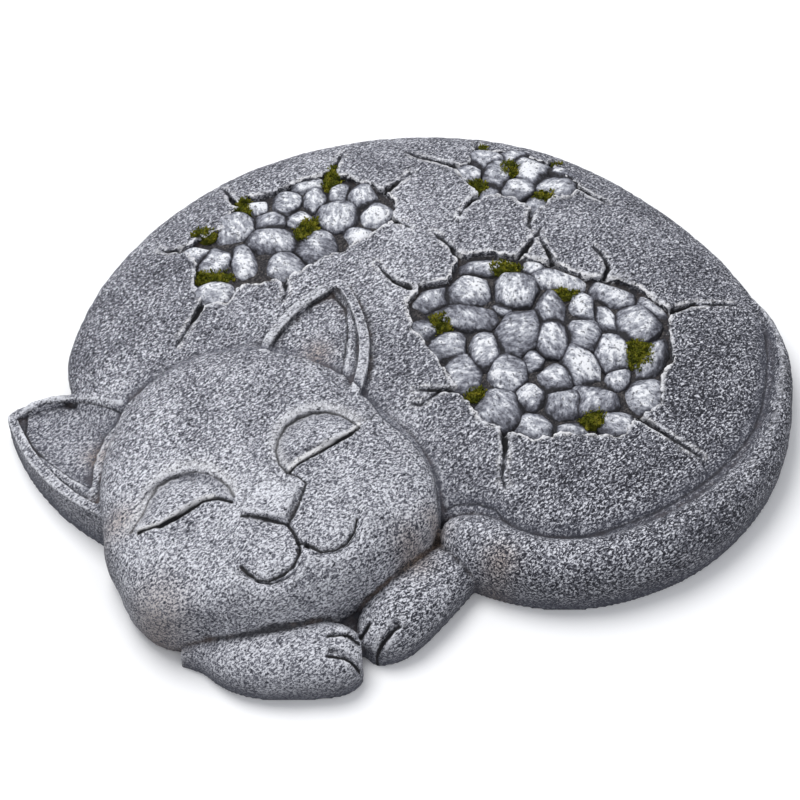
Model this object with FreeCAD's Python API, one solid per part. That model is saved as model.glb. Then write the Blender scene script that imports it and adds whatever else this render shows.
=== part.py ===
"""Garden stepping stone: a sleeping cat curled round on itself, cast in concrete as one piece.

The stone lies on a flat underside. The cat's back is a low oval cushion, its tail a tapering
roll along the near and right-hand edge, and its head a fuller cushion that rests on two forelegs.
Three jagged holes in the back, with cracks running out of their corners, show a bed of pebbles.
The mould fills from behind, so nothing is undercut, and a pocket's floor follows the surface that
it is sunk in.

Millimetres throughout. In plan X runs to the right and Y away from the viewer, Z is up, and the
finished casting is moved so that the origin is the middle of its base.
"""
import FreeCAD, Part
import math
import os

from FreeCAD import Vector

# The cat's back: a low cushion over a closed outline
BACK_CROWN = 38.0
BACK_EDGE = 12.0
BACK_FULLNESS = 2.6
BACK_CENTRE = (20.0, 18.0)
BACK_OUTLINE = [
    (-168, 20), (-141, 88), (-85, 142), (0, 169), (80, 157), (140, 114), (182, 57), (195, -2),
    (169, -67), (130, -97), (74, -108), (32, -90), (-40, -86), (-100, -76), (-150, -36),
]

# The head: a fuller cushion, and the turned frame that the features of the face are laid out in
HEAD_CROWN = 48.0
HEAD_EDGE = 14.0
HEAD_FULLNESS = 4.0
HEAD_CENTRE = (-65.0, -74.0)
HEAD_OUTLINE = [
    (20, -85), (12, -54), (-12, -25), (-44, 4), (-81, 10), (-118, -6),
    (-141, -44), (-144, -85), (-128, -125), (-92, -153), (-40, -146), (3, -116),
]
FACE_CENTRE = (-72.0, -78.0)
FACE_TURN = 31.0
DRAFT_INSET = 3.0

# Ears: root, bulge, tip, bulge and root again round the outline, with the head over the root
EAR_RIM = 5.5
EAR_HOLLOW = 4.0
EAR_TIP_ROUND = 5.0
OUTER_EAR = [(-116, -26), (-160, -9), (-197, -20), (-179, -57), (-134, -96)]
OUTER_EAR_ROOT, OUTER_EAR_TIP = 27.0, 14.0
INNER_EAR = [(-75, -24), (-57, 24.5), (-30, 47), (-16.5, 16), (-26, -41)]
INNER_EAR_ROOT, INNER_EAR_TIP = 43.2, 42.4

# Closed eyes, in the face frame, for the cat's left eye: the other is its mirror image
EYE_INNER = (14.0, -9.0)
EYE_BROW = (35.0, 16.0)
EYE_OUTER = (60.0, -3.0)
LID_EDGE = [(48, -7), (36, -5), (25, -4)]
LID_MIDDLE = (36.0, -5.0)
LID_TILT = 20.0
LID_RADIUS = 90.0
LID_PROUD = 2.0
SOCKET_DEPTH = 8.0
CHEEK_HOLLOW = (40.0, -12.0)
CHEEK_REACH = 23.0
CHEEK_DEPTH = 3.0

# Muzzle and nose, in the face frame
LOBE_CENTRE = (14.3, -45.0)
LOBE_REACH = 17.0
LOBE_PROUD = 2.2
LOBE_TILT = 1.0
LOBE_RADIUS = 60.0
MOUTH_FROM, MOUTH_TO = 200.0, 372.0
MOUTH_WIDTH = 2.6
MOUTH_DEPTH = 2.6
MOUTH_LAP = 0.4
NOSE_OUTLINE = [(-6, -8), (-18.5, -21), (-16, -25), (0, -39), (16, -25), (18.5, -21), (6, -8)]
NOSE_TIP_HEIGHT = 53.0
NOSE_BRIDGE_HEIGHT = 48.5
NOSE_TAPER = 0.82
NOSE_BEVEL = 1.2

# Forelegs and tail: x and y of the middle line, half width and height there, from root to tip
NEAR_LEG = [
    (-104, -150, 5, 10), (-96, -153, 9, 15), (-82, -157, 14, 20), (-62, -160.5, 17.5, 24),
    (-44, -160.5, 17.5, 25), (-30, -159.5, 17, 24.5), (-22, -158.5, 14, 22), (-17.5, -158, 8, 17),
]
FAR_LEG = [
    (34, -99, 10, 14), (26, -109, 14, 20), (16, -119, 16, 23), (6, -130, 17, 24.5),
    (-2, -139.5, 16.5, 24), (-8, -146.5, 14.5, 22), (-12.5, -152, 10, 18), (-15, -155, 5, 13),
]
TOE_GROOVES = [
    ((-32, -154), (-26, -155), (-18, -159)),
    ((-33, -164), (-27, -165), (-17, -171)),
    ((-14, -145), (-17, -150), (-21, -155)),
    ((0, -146), (-5, -152), (-10, -160)),
]
TOE_WIDTH = 2.4
TOE_DEPTH = 2.2

TAIL = [
    (168, 72, 2.5, 16), (182, 48, 3.5, 22), (190, 28, 5, 24.5), (192, 2, 6.5, 26),
    (187, -24, 8.5, 27.5), (176, -53, 10.5, 29), (157, -78, 12.5, 30), (132, -98, 14, 31),
    (104, -110, 14.5, 31.5), (76, -114, 14.5, 32), (56, -110, 15.5, 32), (42, -103.5, 16.5, 31.5),
    (32, -98.5, 15, 30), (25, -95, 11, 27), (20.5, -93, 5, 22),
]
ROLL_SIDE = 0.4
ROLL_FOOT = 0.92

# Sole: the solid foot of the casting that fills the gaps between the head, the legs and the tail
SOLE = [(-85, -150), (-30, -152), (-16, -146), (20, -112), (40, -100), (40, -70), (-60, -70)]
SOLE_HEIGHT = 8.0

# Holes in the crust, each with its cracks and the pebbles that lie in it
HOLE_DEPTH = 8.0
PEBBLE_SINK = 1.5
PEBBLE_FULLNESS = 0.38
PEBBLE_SKIRT = 1.34
PEBBLE_SIDES = 8
PEBBLE_SLOPES = (0, 28, 52, 74)
CRACK_DEPTH = 4.5
CRACK_WIDTH = 4.0

# Pebbles are x, y, length, width and turn; a crack runs from its mouth to its tip
RIGHT_HOLE = [
    (30, 66), (44, 68), (60, 66), (80, 61), (95, 52), (113, 52), (122, 46), (137, 32), (134, 18),
    (137, 1), (129, -10), (128, -28), (116, -37), (106, -48), (80, -47), (65, -51), (50, -46),
    (38, -38), (30, -24), (19, -2), (7, 16), (4, 34), (13, 47), (25, 48),
]
RIGHT_PEBBLES = [
    (45, 61, 26, 11, 8), (68, 61, 11, 10, 0), (81, 51, 25, 13, -8), (58, 44, 24, 20, 85),
    (36, 43, 20, 19, 0), (15, 38, 18, 13, 25), (33, 26, 30, 14, -4), (52, 31, 11, 7, -30),
    (60, 17, 26, 18, 72), (76, 32, 19, 13, 95), (92, 33, 16, 12, 95), (104, 28, 18, 8, 115),
    (108, 43, 19, 13, -20), (128, 37, 17, 10, -50), (119, 22, 22, 19, 85), (92, 16, 19, 14, 95),
    (77, 12, 21, 13, 90), (108, 6, 22, 16, 88), (90, -5, 21, 15, 112), (42, 5, 20, 15, 90),
    (24, 8, 19, 15, 80), (13, 18, 13, 11, 0), (31, -10, 21, 17, 110), (52, -10, 20, 16, 85),
    (67, -2, 12, 9, 80), (76, -12, 17, 15, 90), (64, -24, 15, 13, 45), (47, -33, 23, 21, 90),
    (79, -29, 18, 17, 0), (95, -25, 19, 18, 0), (108, -13, 14, 11, 60), (120, -22, 19, 17, 60),
    (125, 3, 26, 12, 58), (107, -39, 16, 15, 0), (65, -42, 18, 14, 0), (83, -43, 15, 8, 0),
]
RIGHT_CRACKS = [
    [(30, 65), (27, 71), (20, 79)], [(61, 65), (71, 81)], [(80, 60), (72, 80)],
    [(104, 51), (107, 60), (104, 69)], [(136, 31), (148, 37), (166, 40)],
    [(116, -36), (128, -45), (141, -54)], [(50, -45), (51, -55), (49, -72)],
    [(29, -22), (20, -22), (10, -31)], [(5, 44), (-3, 48), (-9, 55)],
]
LEFT_HOLE = [
    (-113, 78), (-100, 85), (-91, 91), (-87, 104), (-84, 112), (-66, 117), (-50, 126), (-38, 130),
    (-24, 124), (-10, 116), (-3, 106), (-4, 92), (-15, 82), (-26, 73), (-40, 65), (-52, 56),
    (-60, 50), (-80, 48), (-89, 36), (-101, 37), (-105, 52), (-105, 66),
]
LEFT_PEBBLES = [
    (-76, 107, 13, 10, 10), (-60, 108, 16, 15, 90), (-45, 109, 17, 11, 75), (-33, 115, 14, 9, 75),
    (-19, 112, 19, 14, 95), (-14, 98, 19, 15, 55), (-33, 96, 21, 19, 80), (-53, 96, 14, 11, 60),
    (-67, 95, 15, 12, 0), (-87, 89, 20, 17, 40), (-105, 74, 13, 12, 0), (-95, 67, 17, 14, 45),
    (-65, 80, 23, 18, 0), (-44, 76, 22, 18, 105), (-23, 82, 14, 13, 0), (-80, 64, 22, 12, 105),
    (-59, 61, 17, 16, 90), (-94, 45, 19, 15, 0), (-48, 123, 14, 8, 20),
]
LEFT_CRACKS = [
    [(-112, 77), (-121, 76)], [(-87, 108), (-92, 120)], [(-37, 128), (-32, 145)],
    [(-9, 113), (2, 124)], [(-5, 93), (2, 88)], [(-59, 52), (-58, 40)],
    [(-100, 38), (-104, 27), (-110, 13)],
]
FAR_HOLE = [
    (30, 132), (37, 137), (41, 146), (52, 148), (68, 146), (79, 138), (84, 131), (95, 123),
    (91, 114), (80, 109), (73, 101), (66, 104), (55, 111), (42, 111), (36, 121),
]
FAR_PEBBLES = [
    (37, 130, 12, 10, 60), (46, 140, 13, 11, 0), (51, 127, 16, 10, 80), (61, 143, 13, 8, 5),
    (69, 132, 17, 15, 60), (81, 120, 17, 14, 0), (62, 117, 13, 11, 0), (71, 107, 13, 9, 75),
    (47, 115, 10, 8, 60), (87, 130, 11, 7, -30),
]
FAR_CRACKS = [
    [(32, 132), (22, 137), (9, 143)], [(43, 145), (41, 157)], [(80, 136), (83, 145)],
    [(93, 120), (104, 112)], [(70, 103), (67, 90)], [(43, 112), (37, 106), (32, 97)],
]

# Tool bodies reach from below the base to above everything, and past the edges of the stone
TOOL_FLOOR, TOOL_TOP = -10.0, 90.0
TOOL_SIDE = 300.0
SECTION_SCALES = (1, 0.985, 0.95, 0.88, 0.76, 0.62, 0.47, 0.32, 0.16)
LOFT_DEGREE = 3


def closed_spline(points, centre, scale, height):
    """A smooth closed wire through the points, scaled about a centre and set at a height."""
    placed = [
        Vector(centre[0] + (x - centre[0]) * scale, centre[1] + (y - centre[1]) * scale, height)
        for x, y in points
    ]
    curve = Part.BSplineCurve()
    curve.interpolate(Points=placed, PeriodicFlag=True)
    return Part.Wire(curve.toShape())


def cushion(outline, centre, edge, crown, fullness):
    """A rounded cushion: its outline drawn in towards its centre along a superellipse profile."""
    reach = min(math.dist(point, centre) for point in outline)
    wires = [closed_spline(outline, centre, 1 - DRAFT_INSET / reach, 0)]
    for scale in SECTION_SCALES:
        rise = (1 - scale**fullness) ** (1 / fullness)
        wires.append(closed_spline(outline, centre, scale, edge + (crown - edge) * rise))
    return Part.makeLoft(wires, True, False, False, LOFT_DEGREE)


def column(wire):
    """A tool body over the area inside a flat wire at height 0, tall enough for the whole stone."""
    face = Part.Face(wire)
    face.translate(Vector(0, 0, TOOL_FLOOR))
    return face.extrude(Vector(0, 0, TOOL_TOP - TOOL_FLOOR))


def lifted(shape, height):
    """A copy of a shape, moved straight up."""
    moved = shape.copy()
    moved.translate(Vector(0, 0, height))
    return moved


def pocket(wire, carrier, depth):
    """What to cut away so that the area inside the wire is sunk, its floor following the carrier."""
    return column(wire).cut(lifted(carrier, -depth))


def top_of(carrier, x, y):
    """Height of a carrier's upper surface at a point in plan."""
    plumb_line = Part.makeLine(Vector(x, y, TOOL_FLOOR), Vector(x, y, TOOL_TOP))
    return plumb_line.common(carrier).BoundBox.ZMax


def polygon(points):
    """A closed wire of straight sides in plan."""
    corners = [Vector(x, y, 0) for x, y in points]
    return Part.makePolygon(corners + corners[:1])


def tilted_cap(carrier, spot, tilt, radius, proud):
    """A ball that stands proud of its carrier at a spot of the face, its crown further to the chin."""
    x, y = on_face(*spot)
    crown_x, crown_y = on_face(spot[0], spot[1] - tilt)
    level = math.sqrt(radius**2 - tilt**2)
    return Part.makeSphere(radius, Vector(crown_x, crown_y, top_of(carrier, x, y) + proud - level))


def hollow(carrier, spot, reach, depth):
    """A ball that dips into its carrier at a spot of the face, and is as broad as the reach there."""
    x, y = on_face(*spot)
    radius = (reach**2 + depth**2) / (2 * depth)
    return Part.makeSphere(radius, Vector(x, y, top_of(carrier, x, y) - depth + radius))


def on_face(p, q):
    """A point of the face frame, in plan: p runs from ear to ear, q up to the forehead."""
    turn = math.radians(FACE_TURN)
    return (
        FACE_CENTRE[0] + p * math.cos(turn) - q * math.sin(turn),
        FACE_CENTRE[1] + p * math.sin(turn) + q * math.cos(turn),
    )


def face_vector(p, q, height=0.0):
    """A point of the face frame as a vector at a height."""
    return Vector(*on_face(p, q), height)


def crack(points):
    """Outline of a crack: full width at its mouth, closing to a point at its tip."""
    left, right = [], []
    last = len(points) - 1
    for i in range(last):
        (x, y), (ahead_x, ahead_y) = points[i], points[i + 1]
        run = math.dist(points[i], points[i + 1])
        half = CRACK_WIDTH / 2 * (1 - i / last)
        across = (-(ahead_y - y) / run * half, (ahead_x - x) / run * half)
        left.append((x + across[0], y + across[1]))
        right.append((x - across[0], y - across[1]))
    return polygon(left + points[last:] + right[::-1])


def slot(start, middle, end, width):
    """Outline of a groove of even width along an arc through three points."""
    return band(Part.Arc(Vector(*start, 0), Vector(*middle, 0), Vector(*end, 0)).toShape(), width)


def band(arc, width):
    """A closed outline on both sides of an arc edge."""
    centre, radius = arc.Curve.Center, arc.Curve.Radius
    first, last = arc.ParameterRange
    middle = (first + last) / 2
    rims = []
    for rim in (radius + width / 2, radius - width / 2):
        rims.append([centre + (arc.valueAt(t) - centre) * (rim / radius) for t in (first, middle, last)])
    outer = Part.Arc(*rims[0]).toShape()
    inner = Part.Arc(*rims[1]).toShape()
    ends = [Part.makeLine(rims[0][i], rims[1][i]) for i in (0, 2)]
    return Part.Wire(Part.__sortEdges__([outer, ends[1], inner, ends[0]]))


def pebble(back, x, y, length, width, turn):
    """A pebble part sunk in the bed of a hole, the broader the higher it stands, in few flat facets."""
    spring = top_of(back, x, y) - HOLE_DEPTH - PEBBLE_SINK
    rise = PEBBLE_SINK + PEBBLE_FULLNESS * width
    heading = math.radians(turn)
    rings = [pebble_ring(x, y, length, width, heading, 1, TOOL_FLOOR)]
    for slope in PEBBLE_SLOPES:
        share, lift = math.cos(math.radians(slope)), math.sin(math.radians(slope))
        rings.append(pebble_ring(x, y, length, width, heading, share, spring + rise * lift))
    facets = [Part.Face(Part.makePolygon(ring + ring[:1])) for ring in (rings[0], rings[-1])]
    for lower, upper in zip(rings, rings[1:]):
        for i in range(PEBBLE_SIDES):
            corners = [lower[i - 1], lower[i], upper[i], upper[i - 1], lower[i - 1]]
            facets.append(Part.Face(Part.makePolygon(corners)))
    return Part.makeSolid(Part.makeShell(facets))


def pebble_ring(x, y, length, width, heading, share, height):
    """The corners of a pebble's outline, drawn in to a share of its size and set at a height."""
    corners = []
    for i in range(PEBBLE_SIDES):
        turn = math.tau * (i + 0.5) / PEBBLE_SIDES
        along = share * PEBBLE_SKIRT * length / 2 * math.cos(turn)
        across = share * PEBBLE_SKIRT * width / 2 * math.sin(turn)
        corners.append(Vector(
            x + along * math.cos(heading) - across * math.sin(heading),
            y + along * math.sin(heading) + across * math.cos(heading),
            height,
        ))
    return corners


def broken_hole(back, outline, pebbles, cracks):
    """What to cut from the back for one hole: its bed around the pebbles, and the cracks beside it."""
    stones = [pebble(back, *row) for row in pebbles]
    bed = pocket(polygon(outline), back, HOLE_DEPTH).cut(stones)
    return [bed] + [pocket(crack(points), back, CRACK_DEPTH) for points in cracks]


def ear_wire(points):
    """An ear's outline: two arcs that meet at the tip, closed by a straight root."""
    root, rise, tip, fall, end = (Vector(x, y, 0) for x, y in points)
    sides = [Part.Arc(root, rise, tip).toShape(), Part.Arc(tip, fall, end).toShape()]
    return Part.Wire(sides + [Part.makeLine(end, root)])


def ear_slab(points, root_height, tip_height):
    """A broad block whose top slopes from the root of an ear to its tip."""
    root = (Vector(*points[0], 0) + Vector(*points[-1], 0)) / 2
    run = Vector(*points[2], 0) - root
    across = run.cross(Vector(0, 0, 1))
    ring = []
    for share, height in ((-1, TOOL_FLOOR), (2, TOOL_FLOOR), (2, 2 * tip_height - root_height),
                          (-1, 2 * root_height - tip_height)):
        ring.append(root + run * share - across + Vector(0, 0, height))
    return Part.Face(Part.makePolygon(ring + ring[:1])).extrude(across * 2)


def ear(points, root_height, tip_height):
    """An ear cut to its outline from a sloping slab, with a round tip and a hollow inside its rim."""
    slab = ear_slab(points, root_height, tip_height)
    outline = ear_wire(points)
    block = column(outline)
    tip_edges = [edge for edge in block.Edges if math.dist(edge.CenterOfMass[:2], points[2]) < EAR_RIM]
    inside = Part.Face(outline).makeOffset2D(-EAR_RIM).OuterWire
    return block.makeFillet(EAR_TIP_ROUND, tip_edges).common(slab).cut(pocket(inside, slab, EAR_HOLLOW))


def lid_edge(side):
    """The wavy lower edge of a closed lid, from its outer to its inner corner."""
    lower = Part.BSplineCurve()
    lower.interpolate([face_vector(side * p, q) for p, q in [EYE_OUTER] + LID_EDGE + [EYE_INNER]])
    return lower.toShape()


def eye_wire(side):
    """The outline of a closed eye: the brow's arc above and the lid's edge below."""
    inner, brow, outer = (face_vector(side * p, q) for p, q in (EYE_INNER, EYE_BROW, EYE_OUTER))
    return Part.Wire([Part.Arc(inner, brow, outer).toShape(), lid_edge(side)])


def cheek_wire(side):
    """The area below a lid's edge, wide enough to hold the whole rim of the cheek's hollow."""
    low_q = CHEEK_HOLLOW[1] - 2 * CHEEK_REACH
    inner, low, outer = (
        face_vector(side * p, q) for p, q in (EYE_INNER, (CHEEK_HOLLOW[0], low_q), EYE_OUTER)
    )
    return Part.Wire([Part.Arc(inner, low, outer).toShape(), lid_edge(side)])


def with_eye(head, side):
    """The head with one eye: a lid sunk under the brow, and the cheek hollowed below its edge."""
    outline = eye_wire(side)
    middle = (side * LID_MIDDLE[0], LID_MIDDLE[1])
    dip = (side * CHEEK_HOLLOW[0], CHEEK_HOLLOW[1])
    lid = column(outline).common(tilted_cap(head, middle, LID_TILT, LID_RADIUS, LID_PROUD))
    cheek = column(cheek_wire(side)).common(hollow(head, dip, CHEEK_REACH, CHEEK_DEPTH))
    return head.cut([pocket(outline, head, SOCKET_DEPTH), cheek]).fuse(lid)


def muzzle_lobe(head, side):
    """The round swelling beside the nose: the cap of a ball on an upright drum."""
    spot = (side * LOBE_CENTRE[0], LOBE_CENTRE[1])
    drum = Part.makeCylinder(LOBE_REACH, TOOL_TOP, Vector(*on_face(*spot), 0))
    return drum.common(tilted_cap(head, spot, LOBE_TILT, LOBE_RADIUS, LOBE_PROUD))


def mouth_line(side):
    """The groove that curls round one lobe of the muzzle."""
    angles = [MOUTH_FROM, (MOUTH_FROM + MOUTH_TO) / 2, MOUTH_TO]
    radius = LOBE_REACH + MOUTH_WIDTH / 2 - MOUTH_LAP
    points = []
    for degrees in angles:
        turn = math.radians(degrees)
        p = LOBE_CENTRE[0] + radius * math.cos(turn)
        q = LOBE_CENTRE[1] + radius * math.sin(turn)
        points.append(face_vector(side * p, q))
    return band(Part.Arc(*points).toShape(), MOUTH_WIDTH)


def nose():
    """A tapering wedge, highest at its tip, with bevelled edges."""
    tip_q = min(q for p, q in NOSE_OUTLINE)
    bridge_q = max(q for p, q in NOSE_OUTLINE)
    middle_q = (tip_q + bridge_q) / 2
    slope = (NOSE_BRIDGE_HEIGHT - NOSE_TIP_HEIGHT) / (bridge_q - tip_q)
    root = [face_vector(p, q, HEAD_EDGE) for p, q in NOSE_OUTLINE]
    top = []
    for p, q in NOSE_OUTLINE:
        drawn_q = middle_q + (q - middle_q) * NOSE_TAPER
        top.append(face_vector(p * NOSE_TAPER, drawn_q, NOSE_TIP_HEIGHT + slope * (drawn_q - tip_q)))
    wires = [Part.makePolygon(ring + ring[:1]) for ring in (root, top)]
    wedge = Part.makeLoft(wires, True, True)
    pad = max(wedge.Faces, key=lambda face: face.CenterOfMass.z)
    return wedge.makeChamfer(NOSE_BEVEL, pad.Edges)


def roll(stations):
    """A limb or tail: round arches on drafted sides, lofted along their middle line."""
    middles = [Vector(x, y, 0) for x, y, half, crest in stations]
    path = Part.BSplineCurve()
    path.interpolate(middles)
    arches = []
    for middle, (x, y, half, crest) in zip(middles, stations):
        side = path.tangent(path.parameter(middle))[0].cross(Vector(0, 0, 1)).normalize() * half
        spring = middle + Vector(0, 0, crest * ROLL_SIDE)
        pull = Vector(0, 0, crest * (1 - ROLL_SIDE) * 4 / 3)
        crown = Part.BezierCurve()
        crown.setPoles([spring + side, spring + side + pull, spring - side + pull, spring - side])
        feet = [middle + side * ROLL_FOOT, middle - side * ROLL_FOOT]
        walls = [Part.makeLine(feet[0], spring + side), Part.makeLine(spring - side, feet[1])]
        arches.append(Part.Wire([walls[0], crown.toShape(), walls[1], Part.makeLine(feet[1], feet[0])]))
    return Part.makeLoft(arches, True)


def build_stone():
    """The whole casting: the broken back, the tail, the legs, the head and the ears, fused in turn."""
    back = cushion(BACK_OUTLINE, BACK_CENTRE, BACK_EDGE, BACK_CROWN, BACK_FULLNESS)
    breaks = []
    for outline, pebbles, cracks in (
        (RIGHT_HOLE, RIGHT_PEBBLES, RIGHT_CRACKS),
        (LEFT_HOLE, LEFT_PEBBLES, LEFT_CRACKS),
        (FAR_HOLE, FAR_PEBBLES, FAR_CRACKS),
    ):
        breaks += broken_hole(back, outline, pebbles, cracks)
    broken_back = back.cut(breaks)

    plain_head = cushion(HEAD_OUTLINE, HEAD_CENTRE, HEAD_EDGE, HEAD_CROWN, HEAD_FULLNESS)
    lobes = [muzzle_lobe(plain_head, side) for side in (1, -1)]
    mouth = [pocket(mouth_line(side), plain_head, MOUTH_DEPTH) for side in (1, -1)]
    head = plain_head.fuse(lobes).cut(mouth)
    for side in (1, -1):
        head = with_eye(head, side)
    head = head.fuse(nose())

    ears = [
        ear(OUTER_EAR, OUTER_EAR_ROOT, OUTER_EAR_TIP),
        ear(INNER_EAR, INNER_EAR_ROOT, INNER_EAR_TIP),
    ]

    legs = roll(NEAR_LEG).fuse(roll(FAR_LEG))
    toes = [pocket(slot(*points, TOE_WIDTH), legs, TOE_DEPTH) for points in TOE_GROOVES]
    legs = legs.cut(toes)

    sole = Part.Face(polygon(SOLE)).extrude(Vector(0, 0, SOLE_HEIGHT))
    stone = broken_back.fuse(sole)
    for part in [roll(TAIL), legs, head] + ears:
        stone = stone.fuse(part)
    corner = Vector(-TOOL_SIDE, -TOOL_SIDE, 0)
    above_ground = Part.makeBox(2 * TOOL_SIDE, 2 * TOOL_SIDE, TOOL_TOP, corner)
    return stone.common(above_ground)


def main():
    """Builds the stone, sets its origin in the middle of its base and saves it."""
    stone = build_stone()
    box = stone.optimalBoundingBox(False)
    stone.translate(Vector(-box.Center.x, -box.Center.y, -box.ZMin))
    os.makedirs("parts", exist_ok=True)
    stone.exportStep("parts/cat_stepping_stone.step")
    print("solids", len(stone.Solids), "valid", stone.isValid(), "faces", len(stone.Faces))
    print("size", box.XLength, box.YLength, box.ZLength, "volume", stone.Volume)
    print("moved by", -box.Center.x, -box.Center.y)


main()
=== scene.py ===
# %% [markdown]
# # A garden stepping stone: a sleeping cat, cast in concrete
# The real thing is one casting. Its crust was stippled while the mould was made, washed with
# a dark stain that stayed in the hollows, and dry-brushed with pale grey on everything high.
# The CAD node holds the main forms. Here it gets what a clean solid lacks: softened cast edges,
# fine lines, a lumpy crust, uneven pebbles, the stain and the dry-brushing, painted shade in the
# hollows and lines, painted highlights on the edges and the pebble tops, and moss in the beds.

import math

import bmesh
import bpy
import numpy as np
from mathutils import Matrix, Vector, noise
from mathutils.bvhtree import BVHTree


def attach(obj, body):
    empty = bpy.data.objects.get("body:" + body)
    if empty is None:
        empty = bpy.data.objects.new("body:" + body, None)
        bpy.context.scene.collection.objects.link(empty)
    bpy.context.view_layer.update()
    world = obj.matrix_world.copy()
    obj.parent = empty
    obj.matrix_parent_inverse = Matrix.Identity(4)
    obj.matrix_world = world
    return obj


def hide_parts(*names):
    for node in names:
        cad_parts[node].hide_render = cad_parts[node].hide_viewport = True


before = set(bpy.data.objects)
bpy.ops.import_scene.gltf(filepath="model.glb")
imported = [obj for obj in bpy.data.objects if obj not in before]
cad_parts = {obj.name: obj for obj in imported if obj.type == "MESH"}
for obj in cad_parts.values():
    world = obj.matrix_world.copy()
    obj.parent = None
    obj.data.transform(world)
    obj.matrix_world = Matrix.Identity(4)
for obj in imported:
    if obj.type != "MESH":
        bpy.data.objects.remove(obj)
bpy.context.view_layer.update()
MM = 0.001

# %% [markdown]
# Two helpers serve every material. Colours are written as sRGB hex values, the way a paint
# chart gives them, and shader sockets want linear light, so one function converts them.
# The other adds a node, sets its options and fills its sockets: a plain value is set, and
# an output socket of another node is linked.

# %% Colour and node helpers
def linear(colour):
    """Linear RGBA for an sRGB hex colour such as '#a0a1a8'."""
    channels = [int(colour[i:i + 2], 16) / 255 for i in (1, 3, 5)]
    curve = [c / 12.92 if c <= 0.04045 else ((c + 0.055) / 1.055) ** 2.4 for c in channels]
    return (*curve, 1.0)


def add_node(tree, kind, inputs=None, output=None, stops=(), **settings):
    """Adds a node, fills its sockets and returns the output socket that is asked for, or its first.

    inputs maps a socket's name or number to a plain value or to the socket to link from.
    stops are the pairs of position and hex colour of a colour ramp."""
    node = tree.nodes.new(kind)
    for name, value in settings.items():
        setattr(node, name, value)
    for name, value in (inputs or {}).items():
        socket = node.inputs[name] if isinstance(name, int) else next(
            s for s in node.inputs if s.enabled and s.name == name
        )
        if isinstance(value, bpy.types.NodeSocket):
            tree.links.new(value, socket)
        else:
            socket.default_value = value
    for _ in stops[2:]:
        node.color_ramp.elements.new(1.0)
    for i, (position, shade) in enumerate(stops):
        node.color_ramp.elements[i].position = position
        node.color_ramp.elements[i].color = linear(shade)
    return next((s for s in node.outputs if s.enabled and output in (None, s.name)), None)


def new_material(name):
    """An empty node material and its tree."""
    material = bpy.data.materials.new(name)
    material.use_nodes = True
    material.node_tree.nodes.clear()
    return material, material.node_tree


print("grey card", linear("#808080"))

# %% [markdown]
# The camera stands where the photographer stood: 52 degrees above the ground, square to the
# long side, 1.2 m away. It aims at the origin of the plan that the stone was drawn on, which
# lies a few millimetres off the middle of the base. The lens follows from the size of the
# stone in the frame: 2355 pixels of focal length in a picture that is 800 pixels wide.

# %% Camera
PLAN_ORIGIN = Vector((-1.2424, 4.3818, 0)) * MM
VIEW_ELEVATION = math.radians(52)
VIEW_DISTANCE = 1.2
FOCAL_PIXELS = 2355
PICTURE_PIXELS = 800

camera_data = bpy.data.cameras.new("photo_camera")
camera_data.lens = camera_data.sensor_width * FOCAL_PIXELS / PICTURE_PIXELS
camera = bpy.data.objects.new("photo_camera", camera_data)
backwards = Vector((0, -math.cos(VIEW_ELEVATION), math.sin(VIEW_ELEVATION)))
camera.location = PLAN_ORIGIN + backwards * VIEW_DISTANCE
camera.rotation_euler = backwards.to_track_quat("Z", "Y").to_euler()
bpy.context.scene.collection.objects.link(camera)
bpy.context.scene.camera = camera
print("lens", round(camera_data.lens, 1), "mm at", [round(x, 3) for x in camera.location])

# %% [markdown]
# A casting has no knife edges: wet concrete doesn't fill them, and the mould is rubber.
# Voxel remeshing gives that in one step, because a voxel can't hold a corner that is sharper
# than itself, and it turns the solid into even small faces, ready to be sculpted. The flat
# underside needs no such faces, so they are dissolved into one.

# %% The casting as an even mesh
VOXEL = 0.8 * MM
FLAT_FLOOR = 0.3 * MM

cad_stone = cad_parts["cat_stepping_stone"]
casting = bpy.data.objects.new("cat_casting", cad_stone.data.copy())
bpy.context.scene.collection.objects.link(casting)
remesh = casting.modifiers.new("even_faces", "REMESH")
remesh.mode = "VOXEL"
remesh.voxel_size = VOXEL
even = bpy.data.meshes.new_from_object(casting.evaluated_get(bpy.context.evaluated_depsgraph_get()))
casting.modifiers.clear()
casting.data = even

shell = bmesh.new()
shell.from_mesh(even)
underside = [f for f in shell.faces if all(v.co.z < FLAT_FLOOR for v in f.verts)]
bmesh.ops.dissolve_faces(shell, faces=underside, use_verts=True)
shell.to_mesh(even)
shell.free()
print("casting", len(even.vertices), "vertices", len(even.polygons), "faces")

# %% [markdown]
# The sculpting works on arrays of points. The mean of a point's neighbours, taken again and
# again, is a blurred copy of the surface. Moving the points towards it softens the edges,
# and what is left between the two tells ridges from hollows, which the paint needs later.

# %% Points, neighbours and blurring
SOFTENING_ROUNDS = 3
count = len(even.vertices)
points = np.empty(count * 3)
even.vertices.foreach_get("co", points)
points = points.reshape(-1, 3)
edges = np.empty(len(even.edges) * 2, dtype=np.int32)
even.edges.foreach_get("vertices", edges)
edges = edges.reshape(-1, 2)
ends, starts = np.concatenate([edges, edges[:, ::-1]]).T
valence = np.maximum(np.bincount(ends, minlength=count), 1)
raised = points[:, 2] >= FLAT_FLOOR


def blurred(values, rounds):
    """The values, each drawn half way to its neighbours' mean, that many times."""
    result = values.copy()
    for _ in range(rounds):
        for column in range(result.shape[1]):
            around = np.bincount(ends, result[starts, column], minlength=count) / valence
            result[:, column] = (result[:, column] + around) / 2
    return result


def surface_normals():
    """Normals of the mesh at its points as they are now."""
    even.vertices.foreach_set("co", points.ravel())
    even.update()
    normals = np.empty(count * 3)
    even.vertices.foreach_get("normal", normals)
    return normals.reshape(-1, 3)


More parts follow.
